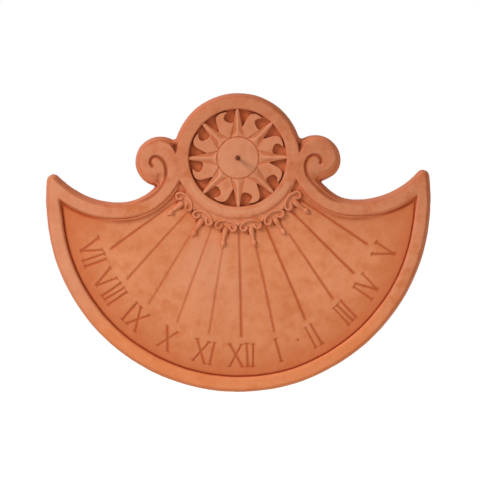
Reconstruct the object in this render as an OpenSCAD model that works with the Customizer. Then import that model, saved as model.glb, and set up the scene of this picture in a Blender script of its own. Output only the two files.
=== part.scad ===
// Terracotta wall sundial: a fan-shaped plaque under a sun medallion, with two scrolls at
// its neck, six hanging drops and a push-fit gnomon pin in the middle of the sun.
// The gnomon's axis is the origin. The wall is the plane y = 0 and the dial looks along -Y.
// Each piece is drawn flat, with its height above the wall along z, and then stood up.

/* [Plaque] */
// Radius of the round lower edge, measured at the wall
fan_r = 250; // [240:1:265]
// How far the centre of that arc lies below the gnomon hole
arc_drop = 55.3; // [53:0.1:60]
// Thickness of the slab that carries all the relief
slab_t = 16; // [14:0.5:24]
// Thickness of the dial panel laid on the slab
panel_t = 4; // [3.5:0.25:6]
// Height of the rims, scrolls and ring above the slab
relief_h = 9; // [8:0.25:13]
// How far the side walls lean in between the wall and the front
draft = 4.5; // [3:0.1:6]
// Chamfer along the front edges of the rims
soft_edge = 1.4; // [0.6:0.1:2]

/* [Wings and rims] */
// Distance of the lowest point of each wing's hollow edge from the middle
valley_x = 154.5; // [150:0.5:160]
// How far that point lies below the gnomon hole
valley_drop = 56; // [50:0.5:60]
// Radius of the hollow edge from that point out to the wing tip
wing_r = 106; // [100:0.5:112]
// Radius of the hollow edge from that point up to the scroll
neck_r = 65; // [62:0.5:68]
// Radius that rounds off each wing tip
tip_r = 9; // [5:0.5:12]
// Width of the rim along the hollow edge
upper_rim_w = 22.6; // [16:0.2:28]
// Extra width of that rim where it climbs the neck
neck_swell = 2; // [0:0.25:3]
// Width of the rim along the round lower edge
lower_rim_w = 20.7; // [14:0.1:28]
// How far the rims' inner walls lean back
rim_lean = 2.4; // [0.5:0.1:3.5]
// Width of the sunk line between the dial panel and the rims
foot_w = 2; // [1:0.1:3]
// Depth of that sunk line
foot_d = 1.5; // [0.5:0.1:2.5]

/* [Scrolls] */
// Distance of each scroll's centre from the middle, at the wall
scroll_x = 100.5; // [97:0.5:104]
// How far that centre lies below the gnomon hole
scroll_drop = 4; // [2:0.5:6]
// Radius of the scroll at the wall
scroll_r = 32.6; // [30:0.2:35]
// Radius of the scroll's front face
scroll_face_r = 23.2; // [21:0.2:26]
// How far the front face's centre lies outward of the scroll's centre
face_shift_x = 2.5; // [0:0.25:4]
// How far it lies above the scroll's centre
face_shift_y = 4; // [0:0.25:5]
// Radius of the fillet in the corner between scroll and ring, at the wall
corner_r = 5; // [3:0.25:8]
// Width of the spiral groove at the surface
groove_w = 3.6; // [2:0.2:5]
// Depth of the spiral groove
groove_d = 4; // [1.5:0.25:6]
// Radius of the groove's turn round the eye
turn_r = 10.6; // [9:0.1:12]
// Radius of the last hook of the groove, inside the eye
hook_r = 5; // [3.5:0.25:6]

/* [Medallion ring] */
// Outer radius of the ring at the wall
ring_r = 84; // [82:0.25:86]
// Width of the ring at the front, from its mouth to its outer edge
ring_w = 16.1; // [11:0.1:17]
// How far the ring's inner wall leans in towards the bottom of the recess
mouth_lean = 1.2; // [0.5:0.1:2]

/* [Sun] */
// Radius of the sun's disc
disc_r = 27; // [24:0.5:30]
// Thickness of the disc
disc_t = 8; // [5:0.25:8.5]
// Crown of the disc above its edge
disc_crown = 1.2; // [0.5:0.1:2]
// Number of straight rays, with a curled flame after each
ray_count = 8; // [8:1:8]
// Thickness of a straight ray along its ridge
ray_t = 7.4; // [4:0.2:8]
// Thickness of the flames
flame_t = 6.8; // [4:0.2:8]
// Width of a straight ray at the disc
ray_base_w = 17.5; // [14:0.5:18.5]
// Width of a straight ray at its tip
ray_tip_w = 2.8; // [1.5:0.1:4]
// Height that a straight ray loses from its ridge to its edges at the disc
ray_slope = 1.4; // [0.5:0.1:2]
// Gap left between the sun's pieces
joint_gap = 0.3; // [0.2:0.05:0.6]

/* [Drops and shells] */
// How far the circle that the shells hang on lies outside the ring
shell_out = 4.8; // [3.8:0.1:6]
// Angle between two neighbouring shells
shell_step = 20.6; // [20:0.1:22]
// Radius of the arch of a shell's bead, to the middle of the bead
arch_r = 18; // [17:0.25:20]
// Half the angle of that arch
arch_half = 42; // [38:1:45]
// Radius of the curl at each end of the arch
curl_r = 4.6; // [3.8:0.1:5]
// Radius of the bead itself
bead_r = 1.35; // [1:0.05:1.6]
// Thickness of the shell's sunk field
field_t = 1.6; // [1:0.1:2.2]
// Width of the deep line between a shell's bead and the clay that fills in between the shells
crevice_w = 1.2; // [0.8:0.1:2]
// Length of a drop below its shell
drop_len = 30; // [24:0.5:34]
// Radius of a drop's stem where it leaves the shell
stem_r = 2.9; // [2:0.1:3.4]
// Radius of the ball near a drop's end
ball_r = 3.3; // [2.5:0.1:4]

/* [Hour lines] */
// Angle between two hour lines at the gnomon
hour_step = 11.1; // [10:0.1:12]
// Width of an engraved hour line
line_w = 2.2; // [1:0.1:3]
// Radius round the arc's centre where the hour lines end
line_end_r = 176; // [165:1:180]

/* [Gnomon and hanging] */
// Radius of the gnomon hole
hole_r = 2.5; // [2:0.1:4]
// Running clearance round the gnomon pin
pin_clear = 0.05; // [0.02:0.01:0.1]
// How far the pin stands out of the disc
pin_out = 45; // [30:1:120]
// Clay left behind the gnomon hole
hole_floor = 5; // [3:0.5:8]
// Radius of the two hanging holes in the back
hang_r = 5; // [3:0.5:7]
// Depth of the hanging holes
hang_depth = 11; // [6:0.5:12]
// Distance of each hanging hole from the middle
hang_x = 120; // [90:1:135]
// How far the hanging holes lie below the gnomon hole
hang_drop = 80; // [76:1:100]

/* [Hidden] */
$fn = 96;
HOURS = [-5, -4, -3, -2, -1, 0, 1, 2, 3, 4, 5];
RAYS = [for (i = [1:ray_count]) i];
SHELLS = [1, 2, 3, 4, 5, 6];

clay = "#d08a62";
dark_clay = "#b86c46";
iron = "#4a4038";

full_t = slab_t + relief_h;
panel_top = slab_t + panel_t;
wing_cy = wing_r - valley_drop;
neck_cy = neck_r - valley_drop;
clear = 0.2;
big = 2 * fan_r;
// The neck of the fan is cut off level inside the ring and the scrolls
neck_top = 6;
wing_top = -10;
// The inner edge of the upper rim changes from the wing's arc to the neck's arc here
split_x = valley_x - neck_swell;
wing_in_r = wing_r + upper_rim_w;
neck_in_r = neck_cy - wing_cy + sqrt(pow(wing_in_r, 2) - pow(neck_swell, 2));
lower_in_r = fan_r - lower_rim_w;
// Centre of the circle that rounds a wing tip: it touches the lower edge and the hollow edge
tip_a = fan_r - tip_r;
tip_b = wing_r + tip_r;
tip_d = norm([valley_x, wing_cy + arc_drop]);
tip_along = (pow(tip_a, 2) - pow(tip_b, 2) + pow(tip_d, 2)) / (2 * tip_d);
tip_across = sqrt(pow(tip_a, 2) - pow(tip_along, 2));
tip_u = [valley_x, wing_cy + arc_drop] / tip_d;
tip_c = [0, -arc_drop] + tip_u * tip_along + [tip_u[1], -tip_u[0]] * tip_across;
tip_out = (tip_c - [0, -arc_drop]) / tip_a;
tip_in = ([valley_x, wing_cy] - tip_c) / tip_b;
// The groove follows the neck's edge, turns round the eye and ends in a hook
groove_neck_r = neck_r + 1.5;
groove_lean = 196.5;
turn_c = [valley_x, neck_cy] + (groove_neck_r - turn_r) * [cos(groove_lean), sin(groove_lean)];
hook_lean = 10;
hook_c = turn_c + (turn_r - hook_r) * [cos(hook_lean), sin(hook_lean)];
hook_end = -62;
groove_start = 219;
ray_pitch = 360 / ray_count;
ring_foot_r = ring_r - lean(slab_t);
ring_mouth_r = ring_r - draft - ring_w;
mouth_floor_r = ring_mouth_r - mouth_lean;
ring_face_r = ring_r - draft - soft_edge;
shell_circle_r = ring_r + shell_out;
// Centre of the corner's fillet: its round just cuts into both the ring and the scroll
corner_bite = 0.2;
corner_a = ring_r + corner_r - corner_bite;
corner_b = scroll_r + corner_r - corner_bite;
corner_d = norm([scroll_x, scroll_drop]);
corner_along = (pow(corner_a, 2) - pow(corner_b, 2) + pow(corner_d, 2)) / (2 * corner_d);
corner_across = sqrt(pow(corner_a, 2) - pow(corner_along, 2));
corner_c = ([scroll_x, -scroll_drop] * corner_along + [scroll_drop, scroll_x] * corner_across)
    / corner_d;
ray_reach = mouth_floor_r - clear;
pin_seat = hole_floor + pin_clear;
pin_tip = slab_t + disc_t + pin_out;
// The dial panel ends at this height, between the ring and the necks
panel_head = -21.7;

// How far the leaning side walls have come in at height h
function lean(h) = draft * h / full_t;
// A smooth closed curve through the points p, with n steps from point to point
function bend(p, n) = [
    for (i = [0:len(p) - 1], j = [0:n - 1])
        let (a = p[(i + len(p) - 1) % len(p)], b = p[i], c = p[(i + 1) % len(p)],
             d = p[(i + 2) % len(p)], t = j / n)
            0.5 * (2 * b + (c - a) * t + (2 * a - 5 * b + 4 * c - d) * t * t
                   + (3 * b - a - 3 * c + d) * t * t * t)
];
// A point at radius r round the gnomon, a degrees clockwise from the top
function polar(r, a) = [r * sin(a), r * cos(a)];

// The points p in the opposite order
function reversed(p) = [for (i = [len(p) - 1:-1:0]) p[i]];

// Stands a flat drawing up against the wall
module stand_up() {
    rotate([90, 0, 0]) children();
}

// Solid of revolution about the centre c; its outline's points are a radius and a height
module turned(c, outline) {
    translate([c[0], c[1], 0]) rotate_extrude() polygon(outline);
}

// Round block whose wall leans in with height, and whose top edge may be chamfered
module bulge(c, r, h0, h1, soft = 0) {
    turned(c, concat(
        [[0, h0], [r - lean(h0), h0], [r - lean(h1 - soft), h1 - soft]],
        soft > 0 ? [[r - lean(h1) - soft, h1]] : [],
        [[0, h1]]
    ));
}

// Round cut whose wall leans out with height, the counterpart of bulge
module hollow(c, r, h0, h1, soft = 0) {
    turned(c, concat(
        [[0, h0 - 1], [r + lean(h0 - 1), h0 - 1], [r + lean(h1 - soft), h1 - soft]],
        soft > 0 ? [[r + lean(h1) + soft, h1]] : [],
        [[r + lean(h1) + soft + 1, h1 + 1], [0, h1 + 1]]
    ));
}

// One wing's hollow edge and rounded tip, as the clay to be cut away on the right; the wedge
// outside the tip's round reaches from both touching points to well past the sharp corner
module wing_cut(h0, h1, soft) {
    intersection() {
        hollow([valley_x, wing_cy], wing_r, h0, h1, soft);
        translate([valley_x, -big / 2, h0 - 2]) cube([big, big, h1 - h0 + 4]);
    }
    intersection() {
        hollow([valley_x, neck_cy], neck_r, h0, h1, soft);
        translate([valley_x - big, -big / 2, h0 - 2]) cube([big, big, h1 - h0 + 4]);
    }
    difference() {
        translate([0, 0, h0 - 1]) linear_extrude(h1 - h0 + 2)
            polygon([tip_c, tip_c + tip_in * tip_r * 1.6, tip_c + (tip_in + tip_out) * tip_r * 6,
                     tip_c + tip_out * tip_r * 1.6]);
        bulge(tip_c, tip_r, h0 - 2, h1, soft);
    }
}

// The fan between heights h0 and h1, without ring and scrolls
module fan(h0, h1, soft = 0) {
    difference() {
        bulge([0, -arc_drop], fan_r, h0, h1, soft);
        translate([-valley_x, neck_top, h0 - 1]) cube([2 * valley_x, big, h1 - h0 + 2]);
        for (side = [0, 1]) mirror([side, 0, 0]) {
            translate([valley_x - 1, wing_top, h0 - 1]) cube([big, big, h1 - h0 + 2]);
            wing_cut(h0, h1, soft);
        }
    }
}

// The parts of the wing's and the neck's rounds that shape the right upper rim's inner edge
module by_arc(wing_outline, neck_outline) {
    intersection() {
        turned([valley_x, wing_cy], wing_outline);
        translate([split_x, -big / 2, -1]) cube([big, big, full_t + 5]);
    }
    intersection() {
        turned([split_x, neck_cy], neck_outline);
        translate([split_x - big, -big / 2, -1]) cube([big, big, full_t + 5]);
    }
}

// What lies inside the inner edge of the right upper rim, grown by g
module rim_reach(g, h0, h1) {
    by_arc([[0, h0], [wing_in_r + g, h0], [wing_in_r + g, h1], [0, h1]],
           [[0, h0], [neck_in_r + g, h0], [neck_in_r + g, h1], [0, h1]]);
}

// The same with the rim's leaning inner wall, from its foot up to its chamfered top edge
function rim_outline(r) =
    [[0, slab_t], [r, slab_t], [r, panel_top - foot_d], [r - rim_lean, full_t - soft_edge],
     [r - rim_lean - soft_edge, full_t], [0, full_t]];

// The space inside the lower rim's leaning inner wall
module lower_mouth() {
    turned([0, -arc_drop], [
        [0, slab_t - 1], [lower_in_r, slab_t - 1], [lower_in_r, panel_top - foot_d],
        [lower_in_r + rim_lean, full_t - soft_edge],
        [lower_in_r + rim_lean + soft_edge, full_t],
        [lower_in_r + rim_lean + soft_edge + 1, full_t + 1], [0, full_t + 1]
    ]);
}

// Scroll's body: a leaning round block whose front face sits off its centre
module scroll_block() {
    h_edge = full_t - soft_edge;
    face_c = [scroll_x + face_shift_x, face_shift_y - scroll_drop];
    hull() {
        translate([scroll_x, -scroll_drop, slab_t])
            cylinder(h = 0.01, r = scroll_r - lean(slab_t), $fn = 64);
        translate([face_c[0], face_c[1], h_edge])
            cylinder(h = 0.01, r = scroll_face_r + soft_edge * 0.6, $fn = 64);
        translate([face_c[0], face_c[1], full_t - 0.01])
            cylinder(h = 0.01, r = scroll_face_r - soft_edge * 0.4, $fn = 64);
    }
}

// Points on the circle with centre c and radius r, in n steps from one angle to the other
function on_arc(c, r, from, to, n) =
    [for (i = [0:n]) let (a = from + (to - from) * i / n) c + r * [cos(a), sin(a)]];

// One side of the spiral groove, w outside its middle line: down the neck's edge, round the
// eye and into the hook
function groove_side(w) = concat(
    on_arc([valley_x, neck_cy], groove_neck_r + w, groove_start, groove_lean, 6),
    on_arc(turn_c, turn_r + w, groove_lean - 8, hook_lean, 23),
    on_arc(hook_c, hook_r + w, hook_lean - 9, hook_end, 7)
);

// One level of the groove, w wide and d deep, with a round end
module groove_level(w, d) {
    translate([0, 0, full_t - d]) linear_extrude(d + 1)
        polygon(concat(groove_side(w / 2), reversed(groove_side(-w / 2))));
    translate([hook_c[0] + hook_r * cos(hook_end), hook_c[1] + hook_r * sin(hook_end), full_t - d])
        cylinder(h = d + 1, r = w / 2 + 0.2);
}

// Spiral groove, in two levels: wide at the surface and narrow at its bottom
module spiral_groove() {
    groove_level(groove_w, groove_d * 0.5);
    groove_level(groove_w * 0.6, groove_d);
}

// Outer side of the medallion ring, from its foot over its soft edge to its face
function ring_outside() = [
    [ring_foot_r, slab_t],
    [ring_r - lean(full_t - soft_edge), full_t - soft_edge],
    [ring_r - lean(full_t) - soft_edge * 0.35, full_t - soft_edge * 0.3],
    [ring_face_r, full_t]
];

// Upper rim, neck and scroll of the right side, in one sweep
module scroll() {
    difference() {
        union() {
            intersection() {
                fan(slab_t, full_t, soft_edge);
                union() {
                    by_arc(rim_outline(wing_in_r), rim_outline(neck_in_r));
                    difference() {
                        rim_reach(0, slab_t, full_t);
                        lower_mouth();
                    }
                }
            }
            scroll_block();
        }
        turned([0, 0], concat([[0, slab_t - 1], [ring_foot_r, slab_t - 1]], ring_outside(),
                              [[ring_face_r, full_t + 1], [0, full_t + 1]]));
        spiral_groove();
    }
}

// Clay that rounds out the corner between ring and scroll, over the slab's thickness
module corner_fillet() {
    on_ring = corner_c * (ring_r - draft) / corner_a;
    on_scroll = [scroll_x, -scroll_drop]
        + (corner_c - [scroll_x, -scroll_drop]) * (scroll_r - draft) / corner_b;
    difference() {
        linear_extrude(slab_t) polygon([on_ring, [ring_r - draft, 0], on_scroll, corner_c]);
        hollow(corner_c, corner_r, -1, slab_t + 1);
    }
}

module back_slab() {
    color(dark_clay) stand_up() difference() {
        union() {
            fan(0, slab_t);
            bulge([0, 0], ring_r, 0, slab_t);
            for (side = [0, 1]) mirror([side, 0, 0]) {
                bulge([scroll_x, -scroll_drop], scroll_r, 0, slab_t);
                corner_fillet();
            }
        }
        translate([0, 0, hole_floor]) cylinder(h = slab_t, r = hole_r);
        for (side = [-1, 1])
            translate([side * hang_x, -hang_drop, -1]) cylinder(h = hang_depth + 1, r = hang_r);
    }
}

// One level of the dial panel, kept g clear of the rims' feet
module panel_level(g, h0, h1) {
    difference() {
        translate([0, -arc_drop, h0]) cylinder(h = h1 - h0, r = lower_in_r - clear - g);
        for (side = [0, 1]) mirror([side, 0, 0]) {
            rim_reach(clear + g, h0 - 1, h1 + 1);
            translate([split_x, wing_top, h0 - 2]) cube([big, big, panel_t + 4]);
        }
        translate([-split_x - 1, panel_head, h0 - 2]) cube([2 * split_x + 2, big, panel_t + 4]);
        translate([0, 0, h0 - 1]) cylinder(h = h1 - h0 + 2, r = ring_foot_r + clear);
    }
}

// Distance from the gnomon to the end of hour line k
function line_reach(k) =
    let (a = k * hour_step)
        arc_drop * cos(a) + sqrt(pow(line_end_r, 2) - pow(arc_drop * sin(a), 2));
// Hour lines start under a drop, in a gap between shells or beside the last shell
function line_start(k) =
    abs(k) == 1 || abs(k) == 3 ? shell_circle_r + 6 + drop_len : shell_circle_r + 8;

module dial_panel() {
    color(clay) stand_up() difference() {
        union() {
            panel_level(0, slab_t, panel_top - foot_d);
            panel_level(foot_w, panel_top - foot_d, panel_top);
        }
        for (k = HOURS) rotate([0, 0, k * hour_step]) {
            translate([0, -line_start(k), panel_top]) rotate([90, 45, 0])
                translate([-line_w / sqrt(8), -line_w / sqrt(8), 0])
                    cube([line_w / sqrt(2), line_w / sqrt(2), line_reach(k) - line_start(k)]);
        }
    }
}

module lower_rim() {
    color(clay) stand_up() difference() {
        fan(slab_t, full_t, soft_edge);
        lower_mouth();
        for (side = [0, 1]) mirror([side, 0, 0]) {
            rim_reach(0, slab_t - 1, full_t + 1);
        }
        translate([-split_x, -arc_drop, slab_t - 1]) cube([2 * split_x, big, relief_h + 2]);
    }
}

module left_scroll() {
    color(clay) stand_up() mirror([1, 0, 0]) scroll();
}

module right_scroll() {
    color(clay) stand_up() scroll();
}

// Clay that fills in between neighbouring shells, as high as the ring's face: a band round the
// ring from the first shell to the last, with a round bay cut out of it for every shell
module between_shells() {
    reach = 2.5 * shell_step;
    inner = on_arc([0, 0], ring_face_r - 2, -90 - reach, -90 + reach, 30);
    outer = on_arc([0, 0], shell_circle_r + 3, -90 - reach, -90 + reach, 30);
    difference() {
        translate([0, 0, panel_top]) linear_extrude(full_t - panel_top)
            polygon(concat(inner, reversed(outer)));
        for (i = SHELLS) on_shell_circle(i) {
            translate([0, arch_top - arch_r, panel_top - 1])
                cylinder(h = relief_h, r = arch_r + bead_r + crevice_w);
        }
    }
}

module medallion_ring() {
    color(clay) stand_up() {
        turned([0, 0], concat([[mouth_floor_r, slab_t]], ring_outside(), [
            [ring_mouth_r + soft_edge, full_t],
            [ring_mouth_r + soft_edge * 0.3, full_t - soft_edge * 0.3],
            [ring_mouth_r, full_t - soft_edge]
        ]));
        between_shells();
    }
}

module sun_disc() {
    color(clay) stand_up() translate([0, 0, slab_t]) difference() {
        rotate_extrude() polygon(concat(
            [[0, 0], [disc_r, 0], [disc_r, disc_t - disc_crown - 0.8],
             [disc_r - 0.8, disc_t - disc_crown]],
            [for (i = [3:-1:0]) [disc_r * 0.9 * i / 3, disc_t - disc_crown * pow(i / 3, 2) * 0.8]]
        ));
        translate([0, 0, -1]) cylinder(h = disc_t + 2, r = hole_r);
    }
}

// Cuts the disc's room out of a ray's root
module clear_of_disc() {
    difference() {
        children();
        translate([0, 0, slab_t - 1]) cylinder(h = relief_h + 2, r = disc_r + joint_gap);
    }
}

// Half the width of a straight ray at radius r, grown by g
function ray_half(r, g) =
    g + (ray_base_w + (ray_tip_w - ray_base_w) * (r - disc_r) / (ray_reach - disc_r)) / 2;

// Straight ray pointing up, with a ridge along its middle
module ray_wedge(g, h) {
    r0 = disc_r - 6;
    r1 = ray_reach + g;
    translate([0, 0, slab_t]) linear_extrude(h)
        polygon([[-ray_half(r0, g), r0], [ray_half(r0, g), r0], [ray_half(r1, g), r1],
                 [-ray_half(r1, g), r1]]);
}

// Roof that gives a ray its ridge: it falls from the middle to both edges
module ray_roof() {
    r0 = disc_r - 7;
    r1 = ring_mouth_r + 3;
    w = ray_base_w;
    translate([0, r0, slab_t]) rotate([-90, 0, 0]) linear_extrude(r1 - r0)
        polygon([[-w, 1], [w, 1], [w, -(ray_t - ray_slope * 2)], [0, -ray_t],
                 [-w, -(ray_t - ray_slope * 2)]]);
}

module straight_ray(i) {
    color(clay) stand_up() rotate([0, 0, -(i - 1) * ray_pitch]) clear_of_disc()
        intersection() {
            ray_wedge(0, ray_t);
            ray_roof();
        }
}

// Outline of the flame that leans clockwise, between the straight ray at the top and the next
function flame_outline() =
    let (mid = ray_pitch / 2, span = ray_reach - disc_r,
         near = disc_r - 5,
         // each row is how far out along the span, and how far round from the middle
         rows = [[0.32, -14], [0.47, -12], [0.61, -10.1], [0.77, -8.3], [0.89, -6], [0.965, -2.2],
                 [0.985, 2.4], [0.975, 6.2], [0.945, 9.8], [0.885, 7], [0.82, 4.4], [0.735, 3.2],
                 [0.65, 4.4], [0.58, 7.8], [0.53, 12], [0.5, 17]])
        concat([polar(near, mid - 15)],
               [for (q = rows) polar(disc_r + span * q[0], mid + q[1])],
               [polar(near, mid + 15)]);

module flame_ray(i) {
    color(clay) stand_up() rotate([0, 0, -(i - 1) * ray_pitch]) clear_of_disc()
        difference() {
            translate([0, 0, slab_t]) linear_extrude(flame_t) polygon(bend(flame_outline(), 4));
            translate([0, 0, -1]) ray_wedge(joint_gap, flame_t + 2);
            translate([0, 0, -1]) rotate([0, 0, -ray_pitch]) ray_wedge(joint_gap, flame_t + 2);
        }
}

// Middle of the bead at the top of a shell's arch, above the circle of shells
arch_top = 6.1;
// Centre of the curl at the right end of the arch
curl_c = [(arch_r - curl_r) * sin(arch_half),
          arch_top - arch_r + (arch_r - curl_r) * cos(arch_half)];
// The curl ends pointing back into the shell
curl_end = -130;
shell_foot = curl_c[1] - curl_r * 0.8;

// Points along the right half of a shell's bead, w outside its middle, from top to curl's end
function half_bead(w) = concat(
    [for (a = [0:7:arch_half]) [(arch_r + w) * sin(a), arch_top - arch_r + (arch_r + w) * cos(a)]],
    [for (t = [1:12])
        let (a = 90 - arch_half + (curl_end - 90 + arch_half) * t / 12)
            curl_c + (curl_r + w) * [cos(a), sin(a)]]
);
function mirrored(p) = [for (i = [len(p) - 1:-1:1]) [-p[i][0], p[i][1]]];
// Points along the whole bead, from the left curl over the arch to the right curl
function whole_bead(w) = concat(mirrored(half_bead(w)), half_bead(w));

// Places a drawing that points up on the circle of shells, as the shell number i
module on_shell_circle(i) {
    rotate([0, 0, (i - 3.5) * shell_step]) translate([0, -shell_circle_r, 0]) children();
}

// One level of the bead: a strip of half width w that follows it, h high
module bead_level(w, h) {
    translate([0, 0, panel_top]) linear_extrude(h)
        polygon(concat(whole_bead(w), reversed(whole_bead(-w))));
}

module shell(i) {
    color(clay) stand_up() on_shell_circle(i) {
        translate([0, 0, panel_top]) linear_extrude(field_t) polygon(whole_bead(0));
        bead_level(bead_r, bead_r * 1.1);
        bead_level(bead_r * 0.55, bead_r * 1.9);
        for (side = [-1, 1])
            translate([side * (curl_c[0] + curl_r * cos(curl_end)),
                       curl_c[1] + curl_r * sin(curl_end), panel_top])
                cylinder(h = bead_r * 1.7, r1 = bead_r * 1.35, r2 = bead_r * 1.1);
    }
}

module drop(i) {
    shell_edge = shell_foot - clear;
    neck_at = drop_len * 0.55;
    ball_at = drop_len * 0.68;
    color(clay) stand_up() on_shell_circle(i)
        translate([0, shell_edge, panel_top]) rotate([90, 0, 0])
            rotate_extrude(angle = 180) polygon(concat(
                [[0, 0], [stem_r, 0], [stem_r * 0.86, drop_len * 0.12],
                 [stem_r * 0.52, neck_at], [stem_r * 0.55, ball_at - ball_r * 0.92]],
                [for (a = [-50:20:50]) [ball_r * cos(a), ball_at + ball_r * sin(a)]],
                [[stem_r * 0.42, ball_at + ball_r * 1.15], [stem_r * 0.3, drop_len * 0.93],
                 [0, drop_len]]
            ));
}

module gnomon_pin() {
    r = hole_r - pin_clear;
    color(iron) stand_up() translate([0, 0, pin_seat]) rotate_extrude() polygon(concat(
        [[0, 0], [r - 0.5, 0], [r, 0.5]],
        [for (a = [0:15:90]) [r * cos(a), pin_tip - pin_seat - r + r * sin(a)]]
    ));
}

back_slab();
dial_panel();
lower_rim();
left_scroll();
right_scroll();
medallion_ring();
sun_disc();
gnomon_pin();
for (i = RAYS) straight_ray(i);
for (i = RAYS) flame_ray(i);
for (i = SHELLS) shell(i);
for (i = SHELLS) drop(i);
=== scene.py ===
import math

import bmesh
import bpy
import numpy as np
from mathutils import Matrix, Vector, geometry, noise


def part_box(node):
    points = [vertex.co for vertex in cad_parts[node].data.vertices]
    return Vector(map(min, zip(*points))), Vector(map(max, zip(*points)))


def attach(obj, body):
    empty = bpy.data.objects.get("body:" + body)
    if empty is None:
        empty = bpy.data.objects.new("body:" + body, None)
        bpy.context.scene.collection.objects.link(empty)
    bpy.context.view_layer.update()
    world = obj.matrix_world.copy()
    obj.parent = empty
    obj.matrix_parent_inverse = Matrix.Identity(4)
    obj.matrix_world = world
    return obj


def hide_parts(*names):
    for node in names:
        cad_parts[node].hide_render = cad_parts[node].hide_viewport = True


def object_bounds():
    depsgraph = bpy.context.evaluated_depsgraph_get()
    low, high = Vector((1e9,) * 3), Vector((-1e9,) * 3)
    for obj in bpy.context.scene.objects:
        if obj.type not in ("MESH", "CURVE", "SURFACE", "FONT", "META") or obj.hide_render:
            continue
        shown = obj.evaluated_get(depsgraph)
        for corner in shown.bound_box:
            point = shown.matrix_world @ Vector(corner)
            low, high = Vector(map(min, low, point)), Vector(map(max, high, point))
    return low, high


# The looks of a terracotta wall sundial. Sizes are millimetres of the flat drawing, x to the
# right, y up and h the height above the wall, until flat() stands them up in metres. Angles
# are degrees.

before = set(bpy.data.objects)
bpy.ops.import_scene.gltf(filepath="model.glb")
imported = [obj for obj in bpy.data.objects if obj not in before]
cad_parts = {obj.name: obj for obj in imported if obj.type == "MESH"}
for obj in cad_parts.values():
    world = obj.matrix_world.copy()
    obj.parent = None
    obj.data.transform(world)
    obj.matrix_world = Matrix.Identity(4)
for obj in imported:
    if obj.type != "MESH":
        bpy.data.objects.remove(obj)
cad_low, cad_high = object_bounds()
noise.seed_set(7)
MM = 0.001

# Heights above the wall
slab_top = -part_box("dial_panel")[1].y / MM
panel_top = -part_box("dial_panel")[0].y / MM
rim_top = -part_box("lower_rim")[0].y / MM

# The drawing: how far the lower edge's centre lies below the gnomon, the circle that the shells
# stand on, the angles between two shells, of the outermost ones and between two hour lines, and
# the radius round the lower centre where the lines end
arc_drop = 55.3
shell_circle_r = 88.8
shell_step = 20.6
outer_shell = 2.5 * shell_step
hour_step = 11.1
line_end_r = 176

# The photograph: its size in pixels, mm to a pixel, the pixel of the lower centre, and its tilt
photo_size = 480
photo_mm = 1.292
photo_arc_px = (238.8, 200.8)
photo_roll = 0.67


def flat(x, y, h):
    """A point of the flat drawing, stood up against the wall, in metres."""
    return Vector((x * MM, -h * MM, y * MM))


def ease(t):
    """0 to 1 along a smooth step, for numbers or arrays."""
    t = np.clip(t, 0, 1)
    return t * t * (3 - 2 * t)


def rise(value, start, end):
    """0 at the start to 1 at the end, which may be the lower number, along a smooth step."""
    return ease((value - start) / (end - start))


def from_down(x, y):
    """How many degrees places lie to either side of straight down from the gnomon."""
    return np.degrees(np.arctan2(np.abs(x), -y))


# Meshes

def new_object(name, data):
    """A new object of the scene."""
    obj = bpy.data.objects.new(name, data)
    bpy.context.scene.collection.objects.link(obj)
    return obj


def mesh_object(name, verts, faces):
    """A new mesh object from points in metres."""
    mesh = bpy.data.meshes.new(name)
    mesh.from_pydata([tuple(v) for v in verts], [], [tuple(f) for f in faces])
    mesh.validate()
    return new_object(name, mesh)


def bmesh_object(name, bm):
    """A new mesh object from a bmesh, which is freed."""
    mesh = bpy.data.meshes.new(name)
    bm.to_mesh(mesh)
    bm.free()
    return new_object(name, mesh)


def solids_copy(name, nodes):
    """One object that holds copies of the meshes of several nodes."""
    bm = bmesh.new()
    for node in nodes:
        bm.from_mesh(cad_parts[node].data)
    return bmesh_object(name, bm)


def soften(obj, voxel, rounds):
    """Welds the object into one skin of voxel-sized faces and wears its edges down."""
    skin = obj.modifiers.new("skin", "REMESH")
    skin.mode = "VOXEL"
    skin.voxel_size = voxel * MM
    skin.use_smooth_shade = True
    wear = obj.modifiers.new("wear", "SMOOTH")
    wear.factor = 0.5
    wear.iterations = rounds
    depsgraph = bpy.context.evaluated_depsgraph_get()
    made = bpy.data.meshes.new_from_object(obj.evaluated_get(depsgraph))
    obj.modifiers.clear()
    old = obj.data
    obj.data = made
    bpy.data.meshes.remove(old)


def get_points(obj):
    """The points of a mesh as rows of x, y and z in metres."""
    points = np.empty(len(obj.data.vertices) * 3)
    obj.data.vertices.foreach_get("co", points)
    return points.reshape(-1, 3)


def set_points(obj, points):
    """Moves the points of a mesh to the given rows."""
    obj.data.vertices.foreach_set("co", points.ravel())


def paint(obj, **layers):
    """Stores values from 0 to 1 at each point of a mesh, by name, for its material."""
    for name, values in layers.items():
        layer = obj.data.attributes.new(name, "FLOAT", "POINT")
        layer.data.foreach_set("value", np.clip(values, 0, 1))


# Hand-pressed clay

# The foot of the right scroll, which sits higher than drawn: its place, how far round it the
# clay moves with it, and by how much
raised_at = (112, -31)
raised_reach = 34
raised_by = 4.2

# The length and height of the clay's long and short waves, and the radii round the gnomon hole
# where they begin and where they are whole
WAVES = [(70, 0.7), (14, 0.22)]
true_r = 5
wavy_r = 19


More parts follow.
